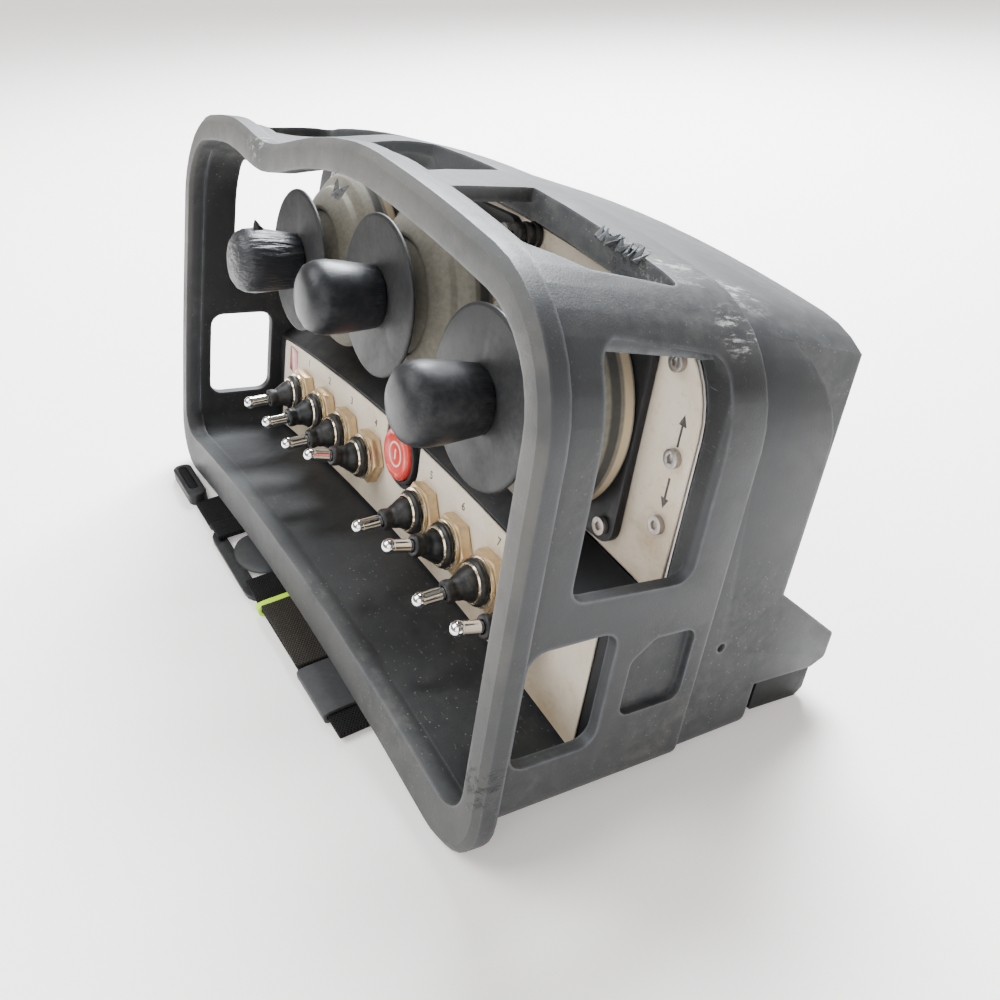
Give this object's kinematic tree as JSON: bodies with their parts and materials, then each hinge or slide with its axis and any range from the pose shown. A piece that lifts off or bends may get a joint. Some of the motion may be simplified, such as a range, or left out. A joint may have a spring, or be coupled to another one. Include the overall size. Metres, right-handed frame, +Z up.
{
  "type": "radio remote control transmitter",
  "caption": "Belly-box radio remote control transmitter with paddle joysticks, booted toggle switches and a stop button behind a flared moulded guard frame.",
  "frame": {"origin": "middle of the bounding box at the height of its lowest point, under the case as it stands on its belly side", "axes": "+X along the control row to the right as seen from the front, +Y from the guard's rim into the case, +Z up"},
  "size_m": [0.309, 0.156, 0.1942],
  "materials": {
    "guard": "satin textured moulding",
    "case": "satin moulding",
    "plate": "satin",
    "deck": "matt black",
    "face": "printed film",
    "gaiter": "dusty rubber",
    "boot": "black rubber",
    "steel": "brushed",
    "chrome": "polished",
    "brass": "worn plating",
    "red": "translucent red",
    "inner": "black moulding",
    "board": "lacquered board",
    "webbing": "woven webbing",
    "lime": "smooth rubber"
  },
  "bodies": {
    "case": {"guard_frame": "guard", "rear_case": "case", "joystick_plate": "plate", "toggle_deck": "deck", "joystick_face": "face", "toggle_face": "face", "panel_seal": "boot", "panel_screws": "steel", "joystick_flanges": "deck", "flange_screws": "steel", "boot_bells": "gaiter", "gimbal_bases": "inner", "toggle_bodies": "inner", "toggle_nuts": "brass", "toggle_dress_rings": "brass", "toggle_seals": "boot", "stop_bezel": "deck", "status_window": "red", "cable_grommet": "boot", "control_board": "board", "radio_module": "steel", "belt_webbing": "webbing", "belt_buckle": "deck", "belt_keeper": "deck", "belt_ring": "lime", "belt_hook": "deck"},
    "gimbal_left": {"gimbal_ring_left": "brass"},
    "joystick_left": {"stick_shaft_left": "steel", "stick_gaiter_left": "gaiter", "stick_disc_left": "gaiter", "stick_knob_left": "boot"},
    "gimbal_middle": {"gimbal_ring_middle": "brass"},
    "joystick_middle": {"stick_shaft_middle": "steel", "stick_gaiter_middle": "gaiter", "stick_disc_middle": "gaiter", "stick_knob_middle": "boot"},
    "gimbal_right": {"gimbal_ring_right": "brass"},
    "joystick_right": {"stick_shaft_right": "steel", "stick_gaiter_right": "gaiter", "stick_disc_right": "gaiter", "stick_knob_right": "boot"},
    "toggle_1": {"toggle_lever_1": "chrome", "toggle_boot_1": "boot"},
    "toggle_2": {"toggle_lever_2": "chrome", "toggle_boot_2": "boot"},
    "toggle_3": {"toggle_lever_3": "chrome", "toggle_boot_3": "boot"},
    "toggle_4": {"toggle_lever_4": "chrome", "toggle_boot_4": "boot"},
    "toggle_5": {"toggle_lever_5": "chrome", "toggle_boot_5": "boot"},
    "toggle_6": {"toggle_lever_6": "chrome", "toggle_boot_6": "boot"},
    "toggle_7": {"toggle_lever_7": "chrome", "toggle_boot_7": "boot"},
    "toggle_8": {"toggle_lever_8": "chrome", "toggle_boot_8": "boot"},
    "stop": {"stop_button": "red"},
    "battery": {"battery_pack": "deck"}
  },
  "joints": [
    {"name": "pitch_left", "type": "hinge", "parent": "case", "child": "gimbal_left", "pos_m": [-0.0794, 0.0004, 0.12579], "axis": [1, 0, 0], "range_deg": [-18, 18], "stiffness_Nm_per_rad": 1.5},
    {"name": "yaw_left", "type": "hinge", "parent": "gimbal_left", "child": "joystick_left", "pos_m": [-0.0794, 0.0004, 0.12579], "axis": [0, 0, 1], "range_deg": [-18, 18], "stiffness_Nm_per_rad": 1.5},
    {"name": "pitch_middle", "type": "hinge", "parent": "case", "child": "gimbal_middle", "pos_m": [0, 0.0004, 0.13419], "axis": [1, 0, 0], "range_deg": [-18, 18], "stiffness_Nm_per_rad": 1.5},
    {"name": "yaw_middle", "type": "hinge", "parent": "gimbal_middle", "child": "joystick_middle", "pos_m": [0, 0.0004, 0.13419], "axis": [0, 0, 1], "range_deg": [-18, 18], "stiffness_Nm_per_rad": 1.5},
    {"name": "pitch_right", "type": "hinge", "parent": "case", "child": "gimbal_right", "pos_m": [0.0794, 0.0004, 0.12579], "axis": [1, 0, 0], "range_deg": [-18, 18], "stiffness_Nm_per_rad": 1.5},
    {"name": "yaw_right", "type": "hinge", "parent": "gimbal_right", "child": "joystick_right", "pos_m": [0.0794, 0.0004, 0.12579], "axis": [0, 0, 1], "range_deg": [-18, 18], "stiffness_Nm_per_rad": 1.5},
    {"name": "flip_1", "type": "hinge", "parent": "case", "child": "toggle_1", "pos_m": [-0.1032, -0.0266, 0.05419], "axis": [1, 0, 0], "range_deg": [-16, 0]},
    {"name": "flip_2", "type": "hinge", "parent": "case", "child": "toggle_2", "pos_m": [-0.0774, -0.0266, 0.05502], "axis": [1, 0, 0], "range_deg": [-16, 0]},
    {"name": "flip_3", "type": "hinge", "parent": "case", "child": "toggle_3", "pos_m": [-0.0516, -0.0266, 0.05561], "axis": [1, 0, 0], "range_deg": [-16, 0]},
    {"name": "flip_4", "type": "hinge", "parent": "case", "child": "toggle_4", "pos_m": [-0.0258, -0.0266, 0.05597], "axis": [1, 0, 0], "range_deg": [0, 16]},
    {"name": "flip_5", "type": "hinge", "parent": "case", "child": "toggle_5", "pos_m": [0.0258, -0.0266, 0.05597], "axis": [1, 0, 0], "range_deg": [-16, 0]},
    {"name": "flip_6", "type": "hinge", "parent": "case", "child": "toggle_6", "pos_m": [0.0516, -0.0266, 0.05561], "axis": [1, 0, 0], "range_deg": [0, 16]},
    {"name": "flip_7", "type": "hinge", "parent": "case", "child": "toggle_7", "pos_m": [0.0774, -0.0266, 0.05502], "axis": [1, 0, 0], "range_deg": [-16, 0]},
    {"name": "flip_8", "type": "hinge", "parent": "case", "child": "toggle_8", "pos_m": [0.1032, -0.0266, 0.05419], "axis": [1, 0, 0], "range_deg": [0, 16]},
    {"name": "stop_press", "type": "slide", "parent": "case", "child": "stop", "axis": [0, 1, 0], "range_m": [0, 0.0025], "stiffness_N_per_m": 600},
    {"name": "battery_out", "type": "slide", "parent": "case", "child": "battery", "axis": [0, 1, 0], "range_m": [0, 0.03]}
  ]
}
